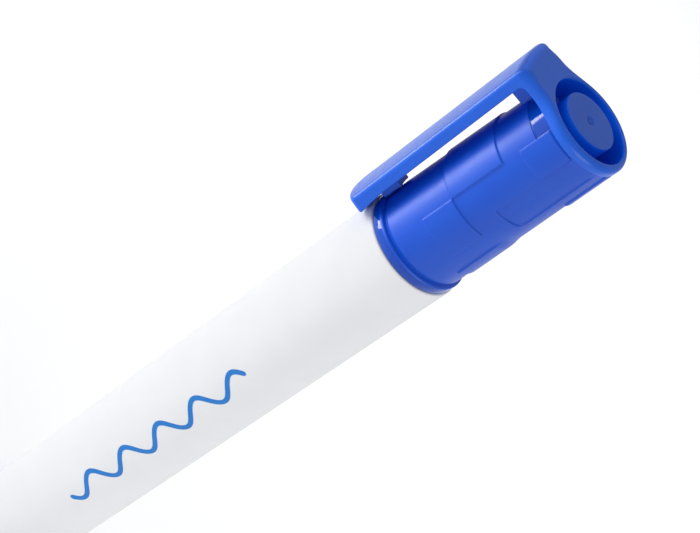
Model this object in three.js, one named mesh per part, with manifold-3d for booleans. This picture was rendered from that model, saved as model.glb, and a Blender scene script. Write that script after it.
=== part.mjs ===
// Whiteboard marker: a plain tube of a barrel, a push-on cap with a sprung pocket clip and a vented
// end, and a bullet nib that draws its ink from a fibre reservoir.
//
// Millimetres. +Z runs along the marker from the end plug to the cap. The origin is the centre of
// the end plug's flat base, and the clip lies on the +X side.

import * as THREE from 'three';
import { mergeVertices } from 'three/addons/utils/BufferGeometryUtils.js';
import Module from 'manifold-3d';

const wasm = await Module();
wasm.setup();

// Overall sizes
const BARREL_R = 8.5;
const JUNCTION_Z = 103.0; // where the cap's rim meets the barrel
const DATUM_Z = JUNCTION_Z + 0.4; // heights on the cap and the nib holder are taken from here
const CAP_LENGTH = 33.6; // from the datum to the cap's end
const CAP_END_Z = DATUM_Z + CAP_LENGTH;
const GAP = 0.3; // between pieces that touch or press together
const AROUND = 48; // facets around the marker's axis

// Barrel and end plug
const BORE_R = 7.0;
const PLUG_HEAD = 4.0;
const PLUG_STEM_R = BORE_R - GAP;
const PLUG_STEM_TOP = 13.0;
const FLANGE_R = 7.6; // the nib holder's flange, let into the barrel's mouth
const FLANGE_DEPTH = 1.6;

// Nib holder, heights above the datum
const COLLAR_R = 6.3; // the cap slides over it
const COLLAR_TOP = 6.0;
const NECK_R = 4.9; // the cap's liner seals on it
const NECK_TOP = 12.5;
const HOLDER_TOP = 18.5;
const HOLDER_SKIRT = 7.0;

// Nib and reservoir
const NIB_R = 2.2;
const NIB_TOP = 24.2;
const NIB_TAIL = 14.0;
const RESERVOIR_R = 6.05;
const WRAP_R = 6.6;

// Cap shell, heights above the datum
const CAP_BORE_R = 6.65;
const RIM_R = 8.3;
const RIM_HEIGHT = 1.45;
const GROOVE_HEIGHT = 0.5;
const WALL_R = 7.89; // the wall's radius at the datum, before its draft
const WALL_DRAFT = 0.015;
const RELIEF = 0.24; // how far the raised panels stand proud
const RECESS = 0.17; // how deep the sunk panels are
const NECK_RECESS = 0.12; // how deep the polished strip under the clip's root is
const PLATE_HEIGHT = 1.8; // the end flange and the clip's root plate
const END_FLANGE_R = 7.65;
const END_ROUND = 1.0;

// Raised panels on the cap: height from the datum, and angle from the clip, in degrees
const PANELS = [
  { from: 13.5, to: 23.1, start: -64.5, end: 64.5 },
  { from: 7.7, to: 13.7, start: 64.5, end: 114 },
  { from: 26.2, to: 31.6, start: 64, end: 100.5 },
  { from: 5.2, to: 13.5, start: 138.5, end: 221.5 },
  { from: 24.1, to: 31.6, start: 155, end: 205 },
  { from: 26.2, to: 31.6, start: -100.5, end: -64 },
  { from: 7.7, to: 13.7, start: -114, end: -64.5 },
];

// Panels sunk into the cap's wall
const RECESSES = [
  { from: 17.8, to: 30.9, start: 100.5, end: 138, depth: RECESS },
  { from: 17.8, to: 30.9, start: -138, end: -100.5, depth: RECESS },
  { from: 29.1, to: CAP_LENGTH - PLATE_HEIGHT, start: -64, end: 64, depth: NECK_RECESS },
];

// Cap liner
const DISC_R = 4.45;
const LINER_WALL = 0.85;
const LINER_MOUTH = 6.4;
const LINER_SEAL_R = NECK_R + 0.25;
const LINER_FINS = 4;

// Pocket clip
const CLIP_HALF_WIDTH = 5.3;
const CLIP_OUTER_X = 12.08; // at the root
const CLIP_OUTER_X_TIP = 11.65;
const CLIP_INNER_X_ROOT = 9.83;
const CLIP_INNER_X = 9.4; // level with the bump
const CLIP_INNER_X_TIP = 9.05;
const CLIP_TIP = -1.9;
const CLIP_ROOT = 27.6; // the flexure, where the clip bends
const CORNER_ROUND = 1.6;
const BUMP_X = 8.14; // the bump that grips what the clip is pushed over
const BUMP_LOW = 1.8;
const BUMP_HIGH = 5.15;
const RIB_HALF_WIDTH = 1.5; // the bump, and the web that ties the clip's root to the shell

const plastic = (color, roughness) => new THREE.MeshStandardMaterial({ color, roughness, metalness: 0 });
const BLUE = 0x1a54c8;
const WHITE = 0xf2f2f4;

const rad = THREE.MathUtils.degToRad;

// A solid of revolution from [radius, height] points, taken anticlockwise with the axis on the left.
function turned(points) {
  const profile = points.map(([r, z]) => new THREE.Vector2(r, z));
  return new THREE.LatheGeometry(profile, AROUND).rotateX(Math.PI / 2);
}

// Points of an arc in the [radius, height] plane, angles in degrees.
function arc(centreR, centreZ, radius, start, end, steps = 4) {
  return Array.from({ length: steps + 1 }, (_, i) => {
    const angle = rad(start + ((end - start) * i) / steps);
    return [centreR + radius * Math.cos(angle), centreZ + radius * Math.sin(angle)];
  });
}

function toSolid(geometry) {
  const bare = geometry.clone();
  bare.deleteAttribute('normal');
  bare.deleteAttribute('uv');
  const merged = mergeVertices(bare);
  const corners = merged.index.array;
  const kept = [];
  for (let i = 0; i < corners.length; i += 3) {
    const [a, b, c] = corners.slice(i, i + 3);
    if (a !== b && b !== c && c !== a) kept.push(a, b, c);
  }
  return new wasm.Manifold(new wasm.Mesh({
    numProp: 3,
    vertProperties: new Float32Array(merged.attributes.position.array),
    triVerts: new Uint32Array(kept),
  }));
}

function toGeometry(solid) {
  const { vertProperties, triVerts } = solid.getMesh();
  const geometry = new THREE.BufferGeometry();
  geometry.setAttribute('position', new THREE.BufferAttribute(new Float32Array(vertProperties), 3));
  geometry.setIndex(new THREE.BufferAttribute(new Uint32Array(triVerts), 1));
  geometry.computeVertexNormals();
  return geometry;
}

function box(x0, x1, y0, y1, z0, z1) {
  return new THREE.BoxGeometry(x1 - x0, y1 - y0, z1 - z0)
    .translate((x0 + x1) / 2, (y0 + y1) / 2, (z0 + z1) / 2);
}

// An outline in the XY plane, pulled up from z0 to z1.
function pulledUp(shape, z0, z1, curveSegments = 12) {
  return new THREE.ExtrudeGeometry(shape, { depth: z1 - z0, bevelEnabled: false, curveSegments })
    .translate(0, 0, z0);
}

// An outline in the XZ plane, pulled out to both sides of Y = 0.
function pulledAcross(shape, halfWidth) {
  return new THREE.ExtrudeGeometry(shape, { depth: 2 * halfWidth, bevelEnabled: false, curveSegments: 6 })
    .rotateX(Math.PI / 2)
    .translate(0, halfWidth, 0);
}

function barrel() {
  const edge = 0.3;
  const low = PLUG_HEAD + GAP;
  return turned([
    [BORE_R, low], [BARREL_R - edge, low], [BARREL_R, low + edge],
    [BARREL_R, JUNCTION_Z - edge], [BARREL_R - edge, JUNCTION_Z],
    [FLANGE_R + GAP, JUNCTION_Z], [FLANGE_R + GAP, JUNCTION_Z - FLANGE_DEPTH - GAP],
    [BORE_R, JUNCTION_Z - FLANGE_DEPTH - GAP], [BORE_R, low],
  ]);
}

function endPlug() {
  const round = 1.2;
  const floor = 2.6;
  const stemWall = 1.3;
  return turned([
    [0, 0], [BARREL_R - round, 0],
    ...arc(BARREL_R - round, round, round, -90, 0).slice(1),
    [BARREL_R, PLUG_HEAD], [PLUG_STEM_R, PLUG_HEAD],
    [PLUG_STEM_R, PLUG_STEM_TOP - 1], [PLUG_STEM_R - 0.6, PLUG_STEM_TOP],
    [PLUG_STEM_R - stemWall, PLUG_STEM_TOP], [PLUG_STEM_R - stemWall, floor], [0, floor],
  ]);
}

function nibHolder() {
  const z = DATUM_Z;
  const mouth = JUNCTION_Z;
  const cup = 3.0;
  const boreR = NIB_R + GAP;
  return turned([
    [5.6, z - HOLDER_SKIRT], [BORE_R - GAP, z - HOLDER_SKIRT],
    [BORE_R - GAP, mouth - FLANGE_DEPTH], [FLANGE_R, mouth - FLANGE_DEPTH], [FLANGE_R, mouth - 0.2],
    [COLLAR_R, mouth - 0.2], [COLLAR_R, z + COLLAR_TOP - 0.5], [COLLAR_R - 0.5, z + COLLAR_TOP],
    [NECK_R, z + COLLAR_TOP], [NECK_R, z + NECK_TOP - 0.4], [NECK_R - 0.4, z + NECK_TOP],
    [4.1, z + NECK_TOP + 0.2], [3.1, z + HOLDER_TOP - 0.3], [2.9, z + HOLDER_TOP],
    [boreR, z + HOLDER_TOP], [boreR, z - 1], [5.6, z - cup], [5.6, z - HOLDER_SKIRT],
  ]);
}

function nib() {
  const top = DATUM_Z + NIB_TOP;
  const tail = DATUM_Z - NIB_TAIL;
  const bullet = 2.6;
  const dome = arc(0, 0, 1, 0, 90, 5).map(([r, h]) => [NIB_R * r, top - bullet + bullet * h]);
  dome[dome.length - 1][0] = 0;
  return turned([[0, tail], [0.6, tail], [NIB_R, tail + 3.2], ...dome]);
}

const reservoirBottom = PLUG_STEM_TOP + GAP;
const reservoirTop = DATUM_Z - HOLDER_SKIRT - GAP;

function inkReservoir() {
  const pocketR = NIB_R + GAP;
  const pocketFloor = DATUM_Z - NIB_TAIL - 0.5;
  return turned([
    [0, reservoirBottom], [RESERVOIR_R, reservoirBottom], [RESERVOIR_R, reservoirTop],
    [pocketR, reservoirTop], [pocketR, pocketFloor], [0, pocketFloor],
  ]);
}

function reservoirWrap() {
  const innerR = RESERVOIR_R + GAP;
  return turned([
    [innerR, reservoirBottom], [WRAP_R, reservoirBottom], [WRAP_R, reservoirTop],
    [innerR, reservoirTop], [innerR, reservoirBottom],
  ]);
}

// The sealing cup inside the cap. Its closed end fills the middle of the cap's end, and its fins
// hold it in the shell and leave the vent open between them.
function capLiner() {
  const z = DATUM_Z;
  const straight = z + 20;
  const seal = z + 14;
  const end = CAP_END_Z;
  const cup = toSolid(turned([
    [LINER_SEAL_R, z + LINER_MOUTH], [LINER_SEAL_R + LINER_WALL - 0.2, z + LINER_MOUTH],
    [LINER_SEAL_R + LINER_WALL, z + LINER_MOUTH + 0.3], [LINER_SEAL_R + LINER_WALL, seal],
    [DISC_R, straight], [DISC_R, end - 0.15], [DISC_R - 0.15, end], [0, end],
    [0, end - 1.2], [DISC_R - LINER_WALL, end - 1.2], [DISC_R - LINER_WALL, straight],
    [LINER_SEAL_R, seal], [LINER_SEAL_R, z + LINER_MOUTH],
  ]));
  const reach = CAP_BORE_R - GAP;
  let whole = cup;
  for (let i = 0; i < LINER_FINS; i += 1) {
    const fin = box(DISC_R - 0.4, reach, -0.5, 0.5, z + 15, end - 4)
      .rotateZ(((i + 0.5) * 2 * Math.PI) / LINER_FINS);
    whole = whole.add(toSolid(fin));
  }
  return toGeometry(whole);
}

// The wall's plain radius at a height above the datum.
const wallRadius = (height) => WALL_R - WALL_DRAFT * height;

// A raised panel of the cap's wall, a block between two radii, two heights and two angles.
function panel({ from, to, start, end }) {
  const outerR = wallRadius((from + to) / 2) + RELIEF;
  const innerR = CAP_BORE_R + 0.3;
  const shape = new THREE.Shape();
  shape.absarc(0, 0, outerR, rad(start), rad(end), false);
  shape.absarc(0, 0, innerR, rad(end), rad(start), true);
  const steps = Math.max(4, Math.round((end - start) / 8));
  return toSolid(pulledUp(shape, DATUM_Z + from, DATUM_Z + to, steps));
}

// What a sunk panel takes off the wall.
function recess({ from, to, start, end, depth }) {
  const innerR = wallRadius((from + to) / 2) - depth;
  const shape = new THREE.Shape();
  shape.absarc(0, 0, WALL_R + 1, rad(start), rad(end), false);
  shape.absarc(0, 0, innerR, rad(end), rad(start), true);
  const steps = Math.max(4, Math.round((end - start) / 8));
  return toSolid(pulledUp(shape, DATUM_Z + from, DATUM_Z + to, steps));
}

// The web that ties the clip's root to the wall.
function rootWeb() {
  return toSolid(box(
    CAP_BORE_R + 0.2, CLIP_INNER_X_ROOT + 0.3, -RIB_HALF_WIDTH, RIB_HALF_WIDTH,
    DATUM_Z + CLIP_ROOT + GAP, CAP_END_Z - PLATE_HEIGHT / 2,
  ));
}

// The flared tab of the end plate, from the flange's circle out to the clip.
function rootPlate() {
  const shape = new THREE.Shape([
    [0, -6.1], [4.6, -6.1], [5.6, -5.4], [9, -CLIP_HALF_WIDTH], [CLIP_OUTER_X, -CLIP_HALF_WIDTH],
    [CLIP_OUTER_X, CLIP_HALF_WIDTH], [9, CLIP_HALF_WIDTH], [5.6, 5.4], [4.6, 6.1], [0, 6.1],
  ].map(([x, y]) => new THREE.Vector2(x, y)));
  return toSolid(pulledUp(shape, CAP_END_Z - PLATE_HEIGHT, CAP_END_Z));
}

// The bend that joins the end plate to the clip: its outline in XZ, with both corners rounded.
function rootBend() {
  const low = DATUM_Z + CLIP_ROOT + GAP;
  const plateLow = CAP_END_Z - PLATE_HEIGHT;
  const inner = 0.9;
  const shape = new THREE.Shape();
  shape.moveTo(CLIP_INNER_X_ROOT, low);
  shape.lineTo(CLIP_OUTER_X, low);
  shape.lineTo(CLIP_OUTER_X, CAP_END_Z - CORNER_ROUND);
  shape.absarc(CLIP_OUTER_X - CORNER_ROUND, CAP_END_Z - CORNER_ROUND, CORNER_ROUND, 0, Math.PI / 2, false);
  shape.lineTo(8.4, CAP_END_Z);
  shape.lineTo(8.4, plateLow);
  shape.absarc(CLIP_INNER_X_ROOT - inner, plateLow - inner, inner, Math.PI / 2, 0, true);
  return toSolid(pulledAcross(shape, CLIP_HALF_WIDTH));
}

// What the rounded outer corner takes off the square plate.
function cornerWaste() {
  const out = CLIP_OUTER_X + 1;
  const up = CAP_END_Z + 1;
  const shape = new THREE.Shape();
  shape.moveTo(CLIP_OUTER_X, CAP_END_Z - CORNER_ROUND);
  shape.lineTo(out, CAP_END_Z - CORNER_ROUND);
  shape.lineTo(out, up);
  shape.lineTo(CLIP_OUTER_X - CORNER_ROUND, up);
  shape.lineTo(CLIP_OUTER_X - CORNER_ROUND, CAP_END_Z);
  shape.absarc(CLIP_OUTER_X - CORNER_ROUND, CAP_END_Z - CORNER_ROUND, CORNER_ROUND, Math.PI / 2, 0, true);
  return toSolid(pulledAcross(shape, CLIP_HALF_WIDTH + 1));
}

function capShell() {
  const rimLow = JUNCTION_Z + GAP;
  const rimTop = DATUM_Z + RIM_HEIGHT;
  const plateLow = CAP_END_Z - PLATE_HEIGHT;
  const wall = toSolid(turned([
    [CAP_BORE_R, rimLow], [RIM_R - 0.2, rimLow], [RIM_R, rimLow + 0.2], [RIM_R, rimTop - 0.1],
    [RIM_R - 0.1, rimTop], [wallRadius(RIM_HEIGHT) - 0.15, rimTop],
    [wallRadius(RIM_HEIGHT + GROOVE_HEIGHT), rimTop + GROOVE_HEIGHT],
    [wallRadius(CAP_LENGTH - PLATE_HEIGHT), plateLow], [END_FLANGE_R, plateLow],
    ...arc(END_FLANGE_R - END_ROUND, CAP_END_Z - END_ROUND, END_ROUND, 0, 80),
    [CAP_BORE_R, CAP_END_Z], [CAP_BORE_R, rimLow],
  ]));
  const bore = toSolid(turned([
    [0, rimLow - 1], [CAP_BORE_R, rimLow - 1], [CAP_BORE_R, CAP_END_Z + 1], [0, CAP_END_Z + 1],
  ]));
  let whole = wall;
  for (const each of RECESSES) whole = whole.subtract(recess(each));
  for (const each of PANELS) whole = whole.add(panel(each));
  whole = whole.add(rootPlate().subtract(cornerWaste())).add(rootBend()).add(rootWeb());
  return toGeometry(whole.subtract(bore));
}

// The clip, from the flexure down to its rounded tip, with the grip bump inside.
function pocketClip() {
  const z = DATUM_Z;
  const tipRound = 0.9;
  const tip = z + CLIP_TIP;
  const shape = new THREE.Shape();
  shape.moveTo(CLIP_OUTER_X, z + CLIP_ROOT);
  shape.lineTo(CLIP_INNER_X_ROOT, z + CLIP_ROOT);
  shape.lineTo(CLIP_INNER_X, z + BUMP_HIGH);
  shape.lineTo(CLIP_INNER_X_TIP, tip);
  shape.lineTo(CLIP_OUTER_X_TIP - tipRound, tip);
  shape.absarc(CLIP_OUTER_X_TIP - tipRound, tip + tipRound, tipRound, -Math.PI / 2, 0, false);
  const blade = toSolid(pulledAcross(shape, CLIP_HALF_WIDTH));
  const bump = toSolid(box(
    BUMP_X, CLIP_INNER_X + 0.5, -RIB_HALF_WIDTH, RIB_HALF_WIDTH, z + BUMP_LOW, z + BUMP_HIGH,
  ));
  return toGeometry(blade.add(bump));
}

const pieces = [
  ['barrel', barrel(), plastic(WHITE, 0.4)],
  ['end_plug', endPlug(), plastic(BLUE, 0.45)],
  ['nib_holder', nibHolder(), plastic(WHITE, 0.4)],
  ['nib', nib(), plastic(0x16398f, 0.95)],
  ['ink_reservoir', inkReservoir(), plastic(0x1d3f9a, 0.95)],
  ['reservoir_wrap', reservoirWrap(), plastic(0xdfe6ee, 0.25)],
  ['cap_shell', capShell(), plastic(BLUE, 0.45)],
  ['cap_liner', capLiner(), plastic(0x3d55a6, 0.5)],
  ['pocket_clip', pocketClip(), plastic(BLUE, 0.45)],
];

const marker = new THREE.Group();
for (const [name, geometry, material] of pieces) {
  const mesh = new THREE.Mesh(geometry, material);
  mesh.name = name;
  marker.add(mesh);
}

export default marker;
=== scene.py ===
"""The looks of a whiteboard marker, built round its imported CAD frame.

Lengths in the design below are millimetres. Heights on the cap are taken from a datum just above
its rim's lower face, and angles round the marker are taken from the clip.
"""
from math import acos, cos, pi, radians, sin, tau

import bmesh
import bpy
import numpy as np
from mathutils import Matrix, Quaternion, Vector


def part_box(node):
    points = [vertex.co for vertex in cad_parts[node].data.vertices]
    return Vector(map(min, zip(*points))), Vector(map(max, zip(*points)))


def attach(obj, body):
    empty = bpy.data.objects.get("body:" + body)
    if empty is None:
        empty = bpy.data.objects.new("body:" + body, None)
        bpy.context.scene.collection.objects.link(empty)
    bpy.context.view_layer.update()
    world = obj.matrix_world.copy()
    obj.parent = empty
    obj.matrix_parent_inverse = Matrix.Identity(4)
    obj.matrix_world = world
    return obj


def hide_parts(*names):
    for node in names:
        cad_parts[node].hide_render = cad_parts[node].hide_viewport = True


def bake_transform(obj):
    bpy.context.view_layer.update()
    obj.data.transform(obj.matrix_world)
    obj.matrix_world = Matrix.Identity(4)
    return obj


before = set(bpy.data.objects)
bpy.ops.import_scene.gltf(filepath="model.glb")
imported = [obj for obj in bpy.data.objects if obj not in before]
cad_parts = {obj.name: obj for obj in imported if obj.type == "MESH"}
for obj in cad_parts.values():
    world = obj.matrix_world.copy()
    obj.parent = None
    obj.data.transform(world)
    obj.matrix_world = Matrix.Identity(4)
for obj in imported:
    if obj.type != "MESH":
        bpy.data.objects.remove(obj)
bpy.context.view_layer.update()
MM = 0.001


def low_and_high(node):
    """The corners of a CAD node's box, in millimetres."""
    return [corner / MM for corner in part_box(node)]


# Sizes taken from the frame
BARREL_LOW, BARREL_HIGH = low_and_high("barrel")
SHELL_HIGH = low_and_high("cap_shell")[1]
CLIP_LOW, CLIP_HIGH = low_and_high("pocket_clip")
LINER_LOW, LINER_HIGH = low_and_high("cap_liner")
PLUG_HIGH = low_and_high("end_plug")[1]
HOLDER_LOW, HOLDER_HIGH = low_and_high("nib_holder")
NIB_LOW, NIB_HIGH = low_and_high("nib")
BARREL_R = BARREL_HIGH.x
JUNCTION = BARREL_HIGH.z
CAP_END = 33.6
DATUM = SHELL_HIGH.z - CAP_END
CLIP_OUTER = CLIP_HIGH.x
CLIP_TIP = CLIP_LOW.z - DATUM
NIB_R = NIB_HIGH.x

# Cap
CAP_BORE_R = 6.65
SEAM = 0.12  # clearance between pieces that close on each other
RIM_LOW = JUNCTION - DATUM + SEAM
RIM_R = 8.3
RIM_TOP = 1.45
GROOVE_TOP = 1.95
GROOVE_DEPTH = 0.16
WALL_R = 7.89  # at the datum, before its draft
WALL_DRAFT = 0.015
RELIEF = 0.24  # how far the raised panels stand proud
RECESS = 0.2  # how deep the sunk panel is
FLUSH = 0.22  # how far the strip above the sunk panel stands proud
EDGE = 0.2  # how far a panel's edge slopes
PANEL_CORNER = 0.1
PLATE_LOW = CAP_END - 1.8
FLANGE_R = 7.65
NECK_FROM = 29.1  # the polished strip under the clip's root
NECK_ANGLE = 64
NECK_DEPTH = 0.12

# Panels on the wall's +Y side: heights, angles, radius of the low corner far from the clip, how
# far each stands proud, and the length of the slope at its top end
SIDE_PANELS = [
    (7.7, 13.5, 64.5, 114, PANEL_CORNER, RELIEF, EDGE),
    (26.2, 31.6, 64, 100.5, PANEL_CORNER, RELIEF, EDGE),
    (17.8, 33.0, 100.5, 138, 1.0, -RECESS, EDGE),
    (30.9, 36.0, 100.5, 138, PANEL_CORNER, FLUSH, EDGE),
]
# The same for the panel under the clip and the two opposite it
PANELS = [
    (13.5, 23.1, -64.5, 64.5, PANEL_CORNER, RELIEF, EDGE),
    (5.2, 13.4, 138.5, 221.5, 0.3, RELIEF, 2.2),
    (24.1, 31.6, 155, 205, 0.3, RELIEF, 0.9),
]
PANELS += SIDE_PANELS
PANELS += [(low, high, -end, -start, *rest) for low, high, start, end, *rest in SIDE_PANELS]


# ---------------------------------------------------------------- camera, lights and floor

CAMERA_AT = Vector((41.47, 229.22, 256.57)) * MM
CAMERA_AIM = Vector((3.574, 5.193, 95.345)) * MM
CAMERA_ROLL = 54.76  # degrees
CAMERA_LENS = 100.45  # millimetres of focal length

# Strength of the sky, and power of each lamp in watts
SKY = 0.5
STRIP = 0.13
SIDE = 0.92
FILL = 1
BACKDROP = 2.4


def make_camera():
    data = bpy.data.cameras.new("camera")
    data.lens = CAMERA_LENS
    data.clip_start = 0.01
    camera = bpy.data.objects.new("camera", data)
    back = (CAMERA_AT - CAMERA_AIM).normalized()
    level = Vector((0, 0, 1)).cross(back).normalized()
    rise = back.cross(level)
    turn = radians(CAMERA_ROLL)
    right = level * cos(turn) + rise * sin(turn)
    up = rise * cos(turn) - level * sin(turn)
    camera.matrix_world = Matrix.Translation(CAMERA_AT) @ Matrix((right, up, back)).transposed().to_4x4()
    bpy.context.scene.collection.objects.link(camera)
    bpy.context.scene.camera = camera


def softbox(name, azimuth, distance, height, width, tall, power, aim_height, lean=0):
    """An area light at an azimuth in degrees, aimed at a height on the marker's axis.

    It is turned by lean degrees about the way it faces.
    """
    data = bpy.data.lights.new(name, "AREA")
    data.shape = "RECTANGLE"
    data.size = width * MM
    data.size_y = tall * MM
    data.energy = power
    lamp = bpy.data.objects.new(name, data)
    place = Vector((distance * cos(radians(azimuth)), distance * sin(radians(azimuth)), height)) * MM
    toward = Vector((0, 0, aim_height * MM)) - place
    facing = toward.to_track_quat("-Z", "Y") @ Quaternion((0, 0, 1), radians(-lean))
    lamp.rotation_euler = facing.to_euler()
    lamp.location = place
    lamp.visible_camera = False
    bpy.context.scene.collection.objects.link(lamp)
    return lamp


def light_only(lamp, targets):
    """Keeps a lamp's direct light off everything but the targets."""
    lit = bpy.data.collections.new(lamp.name + "_lights")
    for target in targets:
        lit.objects.link(target)
    lamp.light_linking.receiver_collection = lit


def make_studio(floor, cap_pieces):
    scene = bpy.context.scene
    scene.view_settings.view_transform = "Standard"
    world = bpy.data.worlds.new("studio")
    world.use_nodes = True
    background = world.node_tree.nodes["Background"]
    background.inputs["Color"].default_value = (0.95, 0.97, 1.0, 1)
    background.inputs["Strength"].default_value = SKY
    scene.world = world
    strip = softbox(
        "strip", azimuth=6, distance=132, height=42, width=58, tall=66, power=STRIP,
        aim_height=42, lean=28,
    )
    light_only(strip, cap_pieces)
    softbox(
        "side", azimuth=14, distance=420, height=150, width=260, tall=260, power=SIDE,
        aim_height=110,
    )
    softbox(
        "fill", azimuth=128, distance=560, height=130, width=420, tall=200, power=FILL,
        aim_height=120,
    )
    backdrop = softbox(
        "backdrop", azimuth=262, distance=230, height=420, width=420, tall=420, power=BACKDROP,
        aim_height=420,
    )
    backdrop.rotation_euler = (0, 0, 0)  # it hangs face down over the floor
    light_only(backdrop, [floor])


def make_floor():
    bpy.ops.mesh.primitive_grid_add(x_subdivisions=8, y_subdivisions=8, size=6)
    floor = bpy.context.object
    floor.name = "floor"
    material, shader, _ = new_material("floor")
    shader.inputs["Base Color"].default_value = (0.68, 0.68, 0.68, 1)
    shader.inputs["Roughness"].default_value = 0.95
    shader.inputs["Specular IOR Level"].default_value = 0.1
    floor.data.materials.append(material)
    return floor


# ---------------------------------------------------------------- materials


def new_material(name):
    """A material with its shader and its node tree."""
    material = bpy.data.materials.new(name)
    material.use_nodes = True
    tree = material.node_tree
    return material, tree.nodes["Principled BSDF"], tree


def noise(tree, scale, detail=3.0):
    """A noise texture laid out in the row frame; scale is features to the metre."""
    place = tree.nodes.new("ShaderNodeTexCoord")
    node = tree.nodes.new("ShaderNodeTexNoise")
    node.inputs["Scale"].default_value = scale
    node.inputs["Detail"].default_value = detail
    node.inputs["Roughness"].default_value = 0.55
    tree.links.new(place.outputs["Object"], node.inputs["Vector"])
    return node.outputs["Fac"]


def spread(tree, value, low, high):
    """Maps 0.3..0.7, the middle of a noise value's range, to low..high."""
    node = tree.nodes.new("ShaderNodeMapRange")
    node.inputs["From Min"].default_value = 0.3
    node.inputs["From Max"].default_value = 0.7
    node.inputs["To Min"].default_value = low
    node.inputs["To Max"].default_value = high
    tree.links.new(value, node.inputs["Value"])
    return node.outputs["Result"]


def mixed(tree, factor, first, second):
    """A colour between two, by a factor."""
    node = tree.nodes.new("ShaderNodeMix")
    node.data_type = "RGBA"
    node.inputs["A"].default_value = (*first, 1)
    node.inputs["B"].default_value = (*second, 1)
    tree.links.new(factor, node.inputs["Factor"])
    return node.outputs["Result"]


def bump(tree, shader, layers):
    """Stacks bump layers, each (value, strength, distance in mm), on the shader's normal."""
    before = None
    for value, strength, distance in layers:
        node = tree.nodes.new("ShaderNodeBump")
        node.inputs["Strength"].default_value = strength
        node.inputs["Distance"].default_value = distance * MM
        tree.links.new(value, node.inputs["Height"])
        if before is not None:
            tree.links.new(before, node.inputs["Normal"])
        before = node.outputs["Normal"]
    tree.links.new(before, shader.inputs["Normal"])


def moulded(name, colour, second, rough, grain, shine=0.5):
    """Moulded plastic: its colour drifts slightly, and fine textures break up its gloss."""
    material, shader, tree = new_material(name)
    drift = spread(tree, noise(tree, 160, 2.0), 0, 1)
    tree.links.new(mixed(tree, drift, colour, second), shader.inputs["Base Color"])
    smudge = spread(tree, noise(tree, 420, 4.0), rough[0], rough[1])
    tree.links.new(smudge, shader.inputs["Roughness"])
    fine = noise(tree, 9000, 2.0)
    middling = noise(tree, 2600, 2.0)
    soft = noise(tree, 700, 2.0)
    bump(tree, shader, [(soft, 0.25, 0.02), (middling, grain, 0.014), (fine, grain, 0.012)])
    shader.inputs["Specular IOR Level"].default_value = shine
    return material


def fibre(name, colour, second, scale):
    """Pressed fibre: streaks along the marker, soft and matte."""
    material, shader, tree = new_material(name)
    place = tree.nodes.new("ShaderNodeTexCoord")
    stretch = tree.nodes.new("ShaderNodeMapping")
    stretch.inputs["Scale"].default_value = (1, 1, 0.08)
    tree.links.new(place.outputs["Object"], stretch.inputs["Vector"])
    strands = tree.nodes.new("ShaderNodeTexNoise")
    strands.inputs["Scale"].default_value = scale
    strands.inputs["Detail"].default_value = 5
    tree.links.new(stretch.outputs["Vector"], strands.inputs["Vector"])
    streak = spread(tree, strands.outputs["Fac"], 0, 1)
    tree.links.new(mixed(tree, streak, colour, second), shader.inputs["Base Color"])
    shader.inputs["Roughness"].default_value = 0.85
    shader.inputs["Sheen Weight"].default_value = 0.25
    bump(tree, shader, [(strands.outputs["Fac"], 0.6, 0.05), (noise(tree, 6000), 0.3, 0.02)])
    return material


def film(name):
    """Clear film, faintly uneven."""
    material, shader, tree = new_material(name)
    tint = spread(tree, noise(tree, 300), 0, 1)
    colour = mixed(tree, tint, (0.78, 0.83, 0.9), (0.85, 0.89, 0.94))
    tree.links.new(colour, shader.inputs["Base Color"])
    shader.inputs["Roughness"].default_value = 0.15
    shader.inputs["Alpha"].default_value = 0.5
    bump(tree, shader, [(noise(tree, 900), 0.3, 0.03)])
    return material


BLUE = moulded(
    "cap_blue_textured", (0.002, 0.075, 0.57), (0.003, 0.083, 0.60),
    rough=(0.38, 0.44), grain=0.35, shine=0.42,
)
BLUE_GLOSS = moulded(
    "cap_blue_polished", (0.002, 0.055, 0.42), (0.002, 0.06, 0.45),
    rough=(0.05, 0.08), grain=0.02, shine=0.42,
)
# Painted light: a brighter copy of the cap's blue, laid on the faces inside the bore and on the liner's
# side.
BLUE_BORE_PAINTED_LIGHT = moulded(
    "cap_blue_bore_painted_light", (0.002, 0.14, 0.92), (0.003, 0.15, 0.95),
    rough=(0.3, 0.36), grain=0.1, shine=0.3,
)
BLUE_CLIP = moulded(
    "cap_blue_clip", (0.006, 0.107, 0.67), (0.008, 0.117, 0.71),
    rough=(0.31, 0.37), grain=0.3, shine=0.42,
)
# Painted shade: a darker copy of the clip's blue, laid on the clip's outer face, which is picked by the
# way its faces point.
BLUE_FACE_PAINTED_SHADE = moulded(
    "cap_blue_clip_face_painted_shade", (0.006, 0.075, 0.45), (0.008, 0.083, 0.48),
    rough=(0.31, 0.37), grain=0.3, shine=0.42,
)
BLUE_LINER = moulded(
    "liner_blue_moulded", (0.032, 0.118, 0.60), (0.036, 0.128, 0.63),
    rough=(0.42, 0.5), grain=0.25, shine=0.25,
)
WHITE = moulded(
    "barrel_white_satin", (0.84, 0.84, 0.86), (0.86, 0.86, 0.875),
    rough=(0.42, 0.52), grain=0.12, shine=0.35,
)
HOLDER_WHITE = moulded(
    "holder_white_moulded", (0.78, 0.78, 0.78), (0.81, 0.81, 0.80),
    rough=(0.32, 0.42), grain=0.15,
)
PRINT = moulded(
    "printed_ink_blue", (0.003, 0.19, 0.60), (0.004, 0.20, 0.64), rough=(0.3, 0.4), grain=0.2,
)
NIB_FIBRE = fibre("nib_fibre_inked", (0.010, 0.035, 0.30), (0.016, 0.06, 0.42), scale=5000)
CORE_FIBRE = fibre("reservoir_fibre_inked", (0.015, 0.05, 0.34), (0.03, 0.1, 0.5), scale=2500)
WRAP_FILM = film("wrap_film_clear")


# ---------------------------------------------------------------- meshes

ARC_STEPS = 6  # in a quarter turn of a rounded corner


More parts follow.
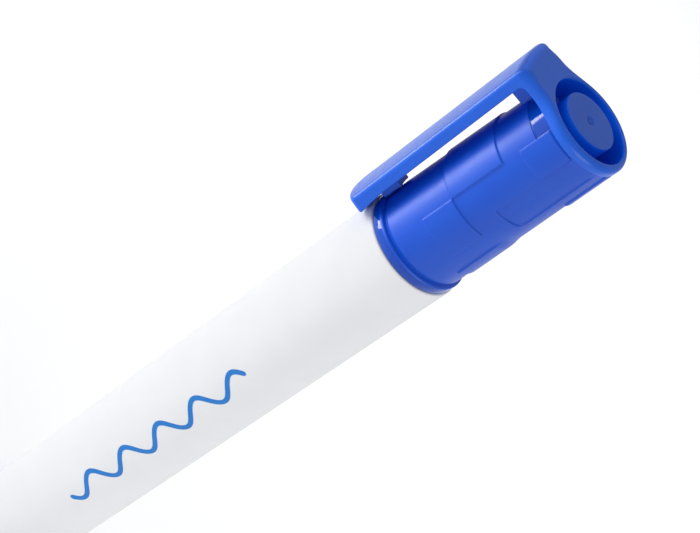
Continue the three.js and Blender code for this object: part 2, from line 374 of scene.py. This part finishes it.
def new_piece(name, verts, faces, materials, face_material=None):
    """A mesh object from millimetre vertices, in the row frame."""
    mesh = bpy.data.meshes.new(name)
    places = [tuple(v) for v in np.asarray(verts, float) * MM]
    mesh.from_pydata(places, [], [tuple(f) for f in faces])
    mesh.polygons.foreach_set("use_smooth", [True] * len(mesh.polygons))
    for material in materials:
        mesh.materials.append(material)
    if face_material is not None:
        mesh.polygons.foreach_set("material_index", face_material)
    mesh.update()
    piece = bpy.data.objects.new(name, mesh)
    bpy.context.scene.collection.objects.link(piece)
    return piece


def rounded(points):
    """A profile from (radius, height, corner radius) points, with each corner turned into an arc."""
    out = []
    flat = [Vector(p[:2]) for p in points]
    for i, (point, corner) in enumerate(zip(flat, points)):
        radius = corner[2] if len(corner) > 2 else 0
        if not radius or i in (0, len(points) - 1):
            out.append(tuple(point))
            continue
        into = (flat[i - 1] - point).normalized()
        away = (flat[i + 1] - point).normalized()
        half = acos(max(-1, min(1, into.dot(away)))) / 2
        reach = radius / np.tan(half)
        centre = point + (into + away).normalized() * (radius / sin(half))
        start = point + into * reach - centre
        end = point + away * reach - centre
        steps = max(3, int(ARC_STEPS * (pi - 2 * half) / pi * 2))
        for k in range(steps + 1):
            t = k / steps
            ray = (start * (1 - t) + end * t).normalized() * radius
            out.append(tuple(centre + ray))
    return out


def turned(name, profile, materials, segments=144, row_slots=None):
    """A solid of revolution from a (radius, height) profile, heights in the row frame.

    row_slots gives the number of the material for each row of faces.
    """
    verts, faces, index = [], [], []
    rings = []
    turns = [tau * k / segments for k in range(segments)]
    for r, z in profile:
        if r < 1e-6:
            rings.append([len(verts)] * segments)
            verts.append((0, 0, z))
        else:
            rings.append(list(range(len(verts), len(verts) + segments)))
            verts += [(r * cos(turn), r * sin(turn), z) for turn in turns]
    for row, (low, high) in enumerate(zip(rings, rings[1:])):
        for k in range(segments):
            n = (k + 1) % segments
            corners = list(dict.fromkeys([low[k], low[n], high[n], high[k]]))
            if len(corners) > 2:
                faces.append(corners)
                index.append(row_slots[row] if row_slots else 0)
    piece = new_piece(name, verts, faces, materials, index)
    close(piece)
    return piece


def close(piece):
    """Welds the seams of a piece and turns its faces outward."""
    work = bmesh.new()
    work.from_mesh(piece.data)
    bmesh.ops.remove_doubles(work, verts=work.verts, dist=1e-7)
    bmesh.ops.recalc_face_normals(work, faces=work.faces)
    work.to_mesh(piece.data)
    work.free()
    piece.data.update()


def keep_flats(piece, angle):
    """Shades creases sharper than an angle in degrees as creases."""
    piece.data.set_sharp_from_angle(angle=radians(angle))


def smoothstep(t):
    """Eases from 0 to 1 as t does."""
    t = np.clip(t, 0, 1)
    return t * t * (3 - 2 * t)


def graded(low, high, stops, fine, coarse):
    """Values from low to high, close together near the stops and coarse away from them."""
    growth = 0.35
    approach = 0.5
    out = [low]
    while out[-1] < high - fine:
        gap = min(abs(out[-1] - s) for s in stops)
        nearest = [s - out[-1] for s in stops if s > out[-1] + 1e-9]
        ahead = min(nearest) if nearest else coarse
        step = min(coarse, max(fine, growth * gap), max(fine, approach * ahead))
        out.append(min(high, out[-1] + step))
    if high - out[-1] > 1e-9:
        out[-1] = high
    return out


# ---------------------------------------------------------------- cap body


def relief(angle, height):
    """How far the cap's wall stands proud at an angle in degrees and a height."""
    proud = np.zeros(np.broadcast(angle, height).shape)
    for low, high, start, end, low_corner, step, slope in PANELS:
        middle = (start + end) / 2
        turn = (angle - middle + 180) % 360 - 180
        far_and_low = (turn * middle > 0) & (height < (low + high) / 2)
        corner = np.where(far_and_low, low_corner, PANEL_CORNER)
        across = np.abs(np.radians(turn)) * WALL_R - radians(end - start) / 2 * WALL_R + corner
        along = np.maximum(low - height, (height - high) * EDGE / slope) + corner
        outside = np.hypot(np.maximum(across, 0), np.maximum(along, 0))
        distance = outside + np.minimum(np.maximum(across, along), 0) - corner
        share = smoothstep(0.5 - distance / EDGE)
        proud = np.where(np.abs(proud) > np.abs(step) * share, proud, step * share)
    return proud


def from_clip(angle):
    """How far round from the clip an angle is, either way."""
    return np.abs((angle + 180) % 360 - 180)


def cap_wall_radius(angle, height):
    step_up = 0.15
    plain = WALL_R - WALL_DRAFT * height
    proud = relief(angle, height)
    in_neck = smoothstep((height - NECK_FROM) / step_up) * smoothstep(NECK_ANGLE - from_clip(angle))
    return plain + proud - NECK_DEPTH * in_neck


def rim_profile():
    """The cap's mouth from its bore out round the rim bead and up the groove above it."""
    groove_r = WALL_R - GROOVE_DEPTH
    return [
        (CAP_BORE_R + 0.1, RIM_LOW + 0.06), (CAP_BORE_R + 0.35, RIM_LOW), (RIM_R - 0.12, RIM_LOW),
        (RIM_R - 0.04, RIM_LOW + 0.04), (RIM_R, RIM_LOW + 0.14), (RIM_R, RIM_TOP - 0.4),
        (RIM_R - 0.03, RIM_TOP - 0.22), (RIM_R - 0.12, RIM_TOP - 0.07), (RIM_R - 0.25, RIM_TOP),
        (groove_r + 0.08, RIM_TOP + 0.02), (groove_r, RIM_TOP + 0.08), (groove_r, GROOVE_TOP - 0.08),
        (groove_r + 0.06, GROOVE_TOP),
    ]


def make_cap_body():
    """The cap's wall as rings: its rim, the panelled wall up to the end plate, and its bore."""
    angle_stops = {a % 360 for p in PANELS for a in p[2:4]} | {NECK_ANGLE, 360.0 - NECK_ANGLE}
    height_stops = {h for p in PANELS for h in p[:2] if h < PLATE_LOW} | {GROOVE_TOP, NECK_FROM}
    wall_low = GROOVE_TOP + 0.1
    wall_high = PLATE_LOW + 0.3
    angles = np.array(graded(0, 360, sorted(angle_stops), 0.5, 3.0))[:-1]
    heights = np.array(graded(wall_low, wall_high, sorted(height_stops), 0.07, 1.0))
    grid_angle, grid_height = np.meshgrid(angles, heights)
    wall = cap_wall_radius(grid_angle, grid_height)
    rim = rim_profile()

    def ring(radius, height):
        return np.stack([np.zeros_like(angles) + radius, np.full_like(angles, height)])

    rings = [ring(r, h) for r, h in rim]
    rings += [ring(r, h) for r, h in zip(wall, heights)]
    rings += [ring(CAP_BORE_R, h) for h in np.linspace(heights[-1], RIM_LOW + 0.3, 12)]
    rings.append(rings[0])
    rings = np.array(rings)
    turn = np.radians(angles)
    x = rings[:, 0] * np.cos(turn)
    y = rings[:, 0] * np.sin(turn)
    verts = np.stack([x, y, rings[:, 1] + DATUM], -1)

    count, around = verts.shape[:2]
    under_rim = 5  # rings of faces from the bore to the foot of the bead's outer face
    wall_start = len(rim)
    wall_end = wall_start + len(heights)
    faces, index = [], []
    for i in range(count - 1):
        low = i * around
        high = low + around
        for k in range(around):
            n = (k + 1) % around
            faces.append((low + k, low + n, high + n, high + k))
            polished = i < under_rim
            # Faces in the bore get the brighter blue of painted light.
            in_bore = i >= wall_end
            if wall_start <= i < wall_end - 1:
                in_neck = from_clip(angles[k]) < NECK_ANGLE
                polished = heights[i - wall_start] >= NECK_FROM and in_neck
            index.append(2 if in_bore else int(polished))
    piece = new_piece("cap_body", verts.reshape(-1, 3), faces, [BLUE, BLUE_GLOSS, BLUE_BORE_PAINTED_LIGHT], index)
    close(piece)
    keep_flats(piece, 50)
    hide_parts("cap_shell")
    return piece


# ---------------------------------------------------------------- cap end, root and clip

CLIP_INNER = 9.4  # how far out the clip's inner face is, level with its bump
CLIP_LEAN = 0.0188
CLIP_CURL = 0.012
CURL_FROM = 5.5  # below this height the inner face curls in toward the barrel
CLIP_EDGE = 11.36  # how far out the long edges of the clip's outer face are
EDGE_LEAN = 0.0138
CLIP_CROWN = 0.42  # how far the outer face stands out between its edges
CLIP_SIDE = 5.2  # half the clip's width
SIDE_FLARE = 0.03
CORNER_ROUND = 1.5  # where the end plate turns down into the clip
INNER_ROUND = 0.9
UNDER_ROUND = 0.22  # the edges round the inner faces
SIDE_ROUND = 0.55
TOP_ROUND = 0.95
TIP_ROUND = 0.5
MOUTH_ROUND = 0.25  # the edge of the bore
PLAN_FILLET = 1.5  # between the flange's circle and the plate's sides
TIP_AT = -0.62
TIP_LEAN = 0.1
TIP_BOW = 1.9
BUMP_LOW = 1.6
BUMP_HIGH = 5.14
BUMP_REACH = 8.1
WEB_LOW = 27.9
WEB_REACH = 7.2
RIB_HALF = 1.5  # half the width of the bump and of the web at the clip's root
RIB_ROUND = 0.2
RIB_DEPTH = 0.8  # how far inside the clip and the plate the bump and the web stop
NET_STEP = 0.2


def round_max(a, b, radius):
    """The overlap of two solids' distance fields, with the edge between them rounded."""
    inner = np.maximum(a + radius, 0), np.maximum(b + radius, 0)
    return np.minimum(np.maximum(a, b), -radius) + np.hypot(*inner)


def round_min(a, b, radius):
    """The union of two solids' distance fields, with a fillet where they meet."""
    return -round_max(-a, -b, radius)


def clip_field(x, y, h):
    """Distance-like field of the cap's end flange, the clip's root and the clip: negative inside."""
    r = np.hypot(x, y)
    side = np.abs(y)
    half_width = CLIP_SIDE + SIDE_FLARE * np.clip(CLIP_EDGE - x, 0, 5)
    outer_x = CLIP_EDGE + EDGE_LEAN * np.clip(h - 1, 0, 31) + CLIP_CROWN * (1 - (y / CLIP_SIDE) ** 2)
    bar = np.maximum(round_max(side - half_width, x - outer_x, SIDE_ROUND), 2.5 - x)
    outline = round_min(r - FLANGE_R, bar, PLAN_FILLET)
    top_round = TOP_ROUND + (CORNER_ROUND - TOP_ROUND) * smoothstep((x - 8.5) / 2.5)
    solid = round_max(outline, h - CAP_END, top_round)
    inner_x = CLIP_INNER + CLIP_LEAN * (h - 5.1) - CLIP_CURL * np.maximum(CURL_FROM - h, 0) ** 2
    under = round_max(x - inner_x, h - PLATE_LOW, INNER_ROUND)
    solid = round_max(solid, -under, UNDER_ROUND)
    rib = side - RIB_HALF
    from_middle = np.abs(h - (BUMP_LOW + BUMP_HIGH) / 2) - (BUMP_HIGH - BUMP_LOW) / 2
    bump = round_max(round_max(rib, BUMP_REACH - r, 0.25), from_middle, RIB_ROUND)
    web = round_max(np.maximum(rib, WEB_REACH - r), WEB_LOW - h, RIB_ROUND)
    ribs = np.maximum(np.maximum(np.minimum(bump, web), x - CLIP_EDGE + RIB_DEPTH), 5 - x)
    solid = round_min(solid, np.maximum(ribs, h - CAP_END + RIB_DEPTH), RIB_ROUND)
    tip = TIP_AT + TIP_LEAN * (x - 9.6) - TIP_BOW * (1 - (y / CLIP_SIDE) ** 2)
    solid = round_max(solid, tip - h, TIP_ROUND)
    return round_max(solid, CAP_BORE_R - r, MOUTH_ROUND)


def surface_net(field, low, high, step):
    """The zero surface of a field as quads: one vertex for each cell that the surface crosses."""
    axes = [np.arange(a, b + step, step) for a, b in zip(low, high)]
    values = field(*np.meshgrid(*axes, indexing="ij"))
    inside = values < 0
    shape = tuple(n - 1 for n in values.shape)
    total = np.zeros(shape + (3,))
    crossings = np.zeros(shape)
    for axis in range(3):
        first = [slice(None)] * 3
        second = [slice(None)] * 3
        first[axis], second[axis] = slice(None, -1), slice(1, None)
        a, b = values[tuple(first)], values[tuple(second)]
        crossed = (a < 0) != (b < 0)
        share = np.where(crossed, a / np.where(crossed, a - b, 1), 0)
        others = [k for k in range(3) if k != axis]
        for offset in ((0, 0), (0, 1), (1, 0), (1, 1)):
            window = [slice(None)] * 3
            for k, o in zip(others, offset):
                window[k] = slice(o, o + shape[k])
            hit = crossed[tuple(window)]
            crossings += hit
            total[..., axis] += np.where(hit, share[tuple(window)], 0)
            for k, o in zip(others, offset):
                total[..., k] += hit * o
    active = crossings > 0
    number = np.full(shape, -1)
    number[active] = np.arange(active.sum())
    cells = np.argwhere(active)
    verts = np.array(low) + (cells + total[active] / crossings[active][:, None]) * step
    faces = []
    for axis in range(3):
        others = [k for k in range(3) if k != axis]
        window = [slice(1, -1)] * 3
        window[axis] = slice(None, -1)
        ahead = list(window)
        ahead[axis] = slice(1, None)
        start, end = inside[tuple(window)], inside[tuple(ahead)]
        edges = np.argwhere(start != end)
        rising = start[start != end]
        base = edges.copy()
        for k in others:
            base[:, k] += 1
        quad = []
        for offset in ((0, 0), (1, 0), (1, 1), (0, 1)):
            cell = base.copy()
            for k, o in zip(others, offset):
                cell[:, k] -= o
            quad.append(number[tuple(cell.T)])
        quad = np.stack(quad, 1)
        flip = rising if axis != 1 else ~rising
        quad[flip] = quad[flip][:, ::-1]
        faces.append(quad)
    return verts, np.concatenate(faces)


def settle(field, verts):
    """Moves vertices onto the field's zero surface, by small steps."""
    reach = 0.02
    least_slope = 0.2
    longest_move = 0.1
    for _ in range(4):
        value = field(*verts.T)
        slope = np.stack([
            (field(*(verts + shift).T) - field(*(verts - shift).T)) / (2 * reach)
            for shift in np.eye(3) * reach
        ], 1)
        size = np.maximum((slope**2).sum(1), least_slope)
        verts = verts - np.clip(value / size, -longest_move, longest_move)[:, None] * slope
    return verts


def make_clip():
    """The cap's end flange, the clip's root and the clip, in one skin."""
    room = 0.6
    low = (-FLANGE_R - room, -FLANGE_R - room, CLIP_TIP - 1.6)
    high = (CLIP_OUTER + 0.8, FLANGE_R + room, CAP_END + room)
    verts, faces = surface_net(clip_field, low, high, NET_STEP)
    verts = settle(clip_field, verts)
    verts[:, 2] += DATUM
    corners = verts[faces]
    # Faces in the bore get the brighter blue of painted light.
    in_bore = np.hypot(corners[..., 0], corners[..., 1]).max(1) < CAP_BORE_R + 0.03
    normal = np.cross(corners[:, 2] - corners[:, 0], corners[:, 3] - corners[:, 1])
    across_x = abs(normal[:, 0]) > 0.7 * np.linalg.norm(normal, axis=1)
    # Painted shade: faces along X on the clip's outer face get the darker copy of the clip's blue.
    painted_shade_face = across_x & (corners[..., 0].min(1) > CLIP_OUTER - 1.5)
    slots = in_bore + 2 * painted_shade_face
    piece = new_piece("clip_and_cap_end", verts, faces, [BLUE_CLIP, BLUE_BORE_PAINTED_LIGHT, BLUE_FACE_PAINTED_SHADE], slots)
    close(piece)
    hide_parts("pocket_clip")
    return piece


# ---------------------------------------------------------------- cap liner

DISC_R = 4.45
LINER_WALL = 0.85
SEAL_R = 5.15
SEAL_TOP = DATUM + 14
DISC_FROM = DATUM + 20
DISC_THICK = 1.2
FINS = 4
FIN_LOW = DATUM + 15
FIN_HIGH = DATUM + CAP_END - 4
FIN_INNER = (4.0, 0.45)  # radius and half thickness
FIN_OUTER = (6.4, 0.38)


def make_liner():
    """The sealing cup, with a moulding mark in the middle of its closed end."""
    end = LINER_HIGH.z
    mouth = LINER_LOW.z
    outside = rounded([
        (SEAL_R, mouth + 0.2), (SEAL_R + 0.2, mouth, 0.1), (SEAL_R + LINER_WALL, mouth, 0.15),
        (SEAL_R + LINER_WALL, SEAL_TOP, 0.6), (DISC_R, DISC_FROM, 0.8), (DISC_R, end, 0.12),
        (0.8, end - 0.02, 0.1), (0.65, end - 0.2, 0.08), (0.42, end - 0.28, 0.05),
        (0.3, end - 0.12, 0.04), (0.12, end - 0.07, 0.04), (0, end - 0.12),
    ])
    inside = rounded([
        (0, end - DISC_THICK), (DISC_R - LINER_WALL, end - DISC_THICK, 0.5),
        (DISC_R - LINER_WALL, DISC_FROM, 0.8), (SEAL_R, SEAL_TOP, 0.6), (SEAL_R, mouth + 0.2),
    ])
    profile = outside + inside
    # The cup's side gets the bore's brighter blue, which is painted light.
    on_side = [int(r > DISC_R - 0.05 and z < end - 0.1) for r, z in profile]
    cup = turned("cap_liner_cup", profile, [BLUE_LINER, BLUE_BORE_PAINTED_LIGHT], row_slots=on_side)
    keep_flats(cup, 40)
    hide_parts("cap_liner")
    return cup


def make_fins():
    """The fins that hold the liner in the shell, with the vent left open between them."""
    inner_r, inner_half = FIN_INNER
    outer_r, outer_half = FIN_OUTER
    outline = [
        (inner_r, -inner_half), (outer_r, -outer_half), (outer_r, outer_half), (inner_r, inner_half),
    ]
    block = [(0, 3, 2, 1), (4, 5, 6, 7), (0, 1, 5, 4), (1, 2, 6, 5), (2, 3, 7, 6), (3, 0, 4, 7)]
    verts, faces = [], []
    for i in range(FINS):
        turn = tau * (i + 0.5) / FINS
        base = len(verts)
        for z in (FIN_LOW, FIN_HIGH):
            for r, side in outline:
                x = r * cos(turn) - side * sin(turn)
                y = r * sin(turn) + side * cos(turn)
                verts.append((x, y, z))
        faces += [[base + k for k in face] for face in block]
    piece = new_piece("cap_liner_fins", verts, faces, [BLUE_LINER])
    close(piece)
    edges = piece.modifiers.new("edges", "BEVEL")
    edges.width = 0.12 * MM
    edges.segments = 2
    edges.limit_method = "ANGLE"
    edges.harden_normals = True
    return piece


# ---------------------------------------------------------------- barrel side

BARREL_BORE_R = 7.0
MOUTH_R = 7.9  # the barrel's mouth, cut back for the nib holder's flange
MOUTH_DEPTH = 1.9
PLUG_HEAD = 4.12
PLUG_STEM_LOW = 4.3
PLUG_STEM_R = 6.7
PLUG_STEM_WALL = 1.3
PLUG_FLOOR = 2.6
HOLDER_R = 6.7
HOLDER_BORE_R = 5.6
HOLDER_FLANGE_R = 7.6
HOLDER_FLANGE_DEPTH = 1.6
COLLAR_R = 6.3  # the cap slides over it
COLLAR_DIP_R = 6.12
COLLAR_TOP = DATUM + 6.0
NECK_R = 4.9  # the liner seals on it
NECK_BEAD_R = 5.02
BULLET = 2.7


def make_barrel():
    """A plain tube. Its profile starts and ends halfway up its bore."""
    low, high = BARREL_LOW.z, JUNCTION
    halfway = (BARREL_BORE_R, (low + high) / 2)
    profile = rounded([
        halfway, (BARREL_BORE_R, low, 0.15), (BARREL_R, low, 0.25), (BARREL_R, high, 0.28),
        (MOUTH_R, high, 0.15), (MOUTH_R, high - MOUTH_DEPTH, 0.1),
        (BARREL_BORE_R, high - MOUTH_DEPTH, 0.1), halfway,
    ])
    piece = turned("barrel_tube", profile, [WHITE], segments=192)
    keep_flats(piece, 40)
    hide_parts("barrel")
    return piece


def make_end_plug():
    """The head, with a moulding mark underneath, and the hollow stem that plugs the barrel."""
    top = PLUG_HIGH.z
    hollow_r = PLUG_STEM_R - PLUG_STEM_WALL
    profile = rounded([
        (0, 0.25), (0.7, 0.25, 0.1), (0.95, 0, 0.15), (BARREL_R, 0, 1.2),
        (BARREL_R, PLUG_HEAD, 0.15), (7.6, PLUG_HEAD, 0.2), (PLUG_STEM_R, PLUG_STEM_LOW, 0.1),
        (PLUG_STEM_R, top, 0.5), (hollow_r, top, 0.3), (hollow_r, PLUG_FLOOR, 0.4), (0, PLUG_FLOOR),
    ])
    piece = turned("end_plug_moulding", profile, [BLUE], segments=160)
    keep_flats(piece, 40)
    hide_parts("end_plug")
    return piece


def make_holder():
    """The front section: skirt and flange in the barrel, then collar, neck and cone."""
    z = DATUM
    low = HOLDER_LOW.z
    top = HOLDER_HIGH.z
    flange_low = JUNCTION - HOLDER_FLANGE_DEPTH
    flange_top = JUNCTION - SEAM
    nib_bore = NIB_R + SEAM
    profile = rounded([
        (HOLDER_BORE_R, z - 4), (HOLDER_BORE_R, low, 0.3), (HOLDER_R, low, 0.5),
        (HOLDER_R, flange_low, 0.1), (HOLDER_FLANGE_R, flange_low, 0.1),
        (HOLDER_FLANGE_R, flange_top, 0.25), (COLLAR_R, flange_top, 0.2), (COLLAR_R, z + 1.6, 0.3),
        (COLLAR_DIP_R, z + 1.9, 0.2), (COLLAR_DIP_R, z + 4.2, 0.2), (COLLAR_R, z + 4.5, 0.3),
        (COLLAR_R, COLLAR_TOP, 0.5), (NECK_R, COLLAR_TOP, 0.35), (NECK_R, z + 9.0, 0.4),
        (NECK_BEAD_R, z + 9.6, 0.3), (NECK_R, z + 10.2, 0.4), (NECK_R, z + 12.5, 0.6),
        (4.1, z + 12.7, 0.4), (3.15, top - 0.2, 0.3), (2.9, top, 0.15), (nib_bore, top, 0.1),
        (nib_bore, z - 1, 0.2), (HOLDER_BORE_R, z - 3, 0.3), (HOLDER_BORE_R, z - 4),
    ])
    piece = turned("nib_holder_moulding", profile, [HOLDER_WHITE], segments=144)
    keep_flats(piece, 40)
    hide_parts("nib_holder")
    return piece


def make_nib():
    """A fibre rod with a bullet tip and a pointed tail."""
    tip = NIB_HIGH.z
    tail = NIB_LOW.z
    rise = np.linspace(0, pi / 2, 12)
    dome = [(NIB_R * cos(a) ** 0.9, tip - BULLET + BULLET * sin(a)) for a in rise]
    dome[-1] = (0, tip)
    profile = [(0, tail), (0.6, tail + 0.05), (NIB_R - 0.05, tail + 3.0), (NIB_R, tail + 3.5)] + dome
    piece = turned("bullet_nib", profile, [NIB_FIBRE], segments=96)
    keep_flats(piece, 60)
    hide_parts("nib")
    return piece


# The printed mark: one plain waved stroke along the barrel, a quarter turn from the clip
STROKE_ANGLE = 91
STROKE_FROM = -78.0
STROKE_LENGTH = 45.0
STROKE_WAVES = 5
STROKE_SWING = 1.55
STROKE_WIDTH = 0.85
STROKE_STEPS = 400
INK_TOP = 0.018  # how far the print stands off the barrel, and how far it sinks in
INK_FOOT = -0.05


def make_stroke():
    """The waved line as a thin closed skin of ink, with rounded ends."""
    steps = STROKE_STEPS
    half = STROKE_WIDTH / 2
    t = np.linspace(0, 1, steps)
    along = STROKE_FROM + STROKE_LENGTH * t
    phase = tau * STROKE_WAVES * t
    swing = STROKE_SWING * np.sin(phase)
    slope = STROKE_SWING * np.cos(phase) * tau * STROKE_WAVES / STROKE_LENGTH
    size = np.hypot(1, slope)
    from_end = np.minimum(along - along[0], along[-1] - along)
    width = half * np.sqrt(np.clip(1 - np.clip(1 - from_end / half, 0, 1) ** 2, 0.0004, 1))
    across = np.linspace(-1, 1, 9)
    z = along[:, None] - across * (width * slope / size)[:, None]
    s = swing[:, None] + across * (width / size)[:, None]
    turn = radians(STROKE_ANGLE) + s / BARREL_R
    verts = []
    for r in (BARREL_R + INK_TOP, BARREL_R + INK_FOOT):
        verts.append(np.stack([r * np.cos(turn), r * np.sin(turn), z + DATUM], -1).reshape(-1, 3))
    verts = np.concatenate(verts)
    columns = len(across)
    under = steps * columns
    faces = []
    for i in range(steps - 1):
        for k in range(columns - 1):
            a, b = i * columns + k, i * columns + k + 1
            c, d = b + columns, a + columns
            faces.append((a, b, c, d))
            faces.append((under + a, under + d, under + c, under + b))
        for k in (0, columns - 1):
            a, d = i * columns + k, (i + 1) * columns + k
            faces.append((a, d, under + d, under + a))
    for i in (0, steps - 1):
        for k in range(columns - 1):
            a, b = i * columns + k, i * columns + k + 1
            faces.append((a, under + a, under + b, b))
    piece = new_piece("printed_stroke", verts, faces, [PRINT])
    close(piece)
    keep_flats(piece, 40)
    return piece


# ---------------------------------------------------------------- the scene

make_camera()

cap_pieces = [make_cap_body(), make_liner(), make_fins()]
for piece in cap_pieces:
    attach(piece, "cap")
for maker in (make_barrel, make_end_plug, make_holder, make_nib, make_stroke):
    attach(maker(), "barrel")

clip = make_clip()
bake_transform(clip)

make_studio(make_floor(), cap_pieces + [clip])

for node, material in (("ink_reservoir", CORE_FIBRE), ("reservoir_wrap", WRAP_FILM)):
    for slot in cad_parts[node].material_slots:
        slot.material = material
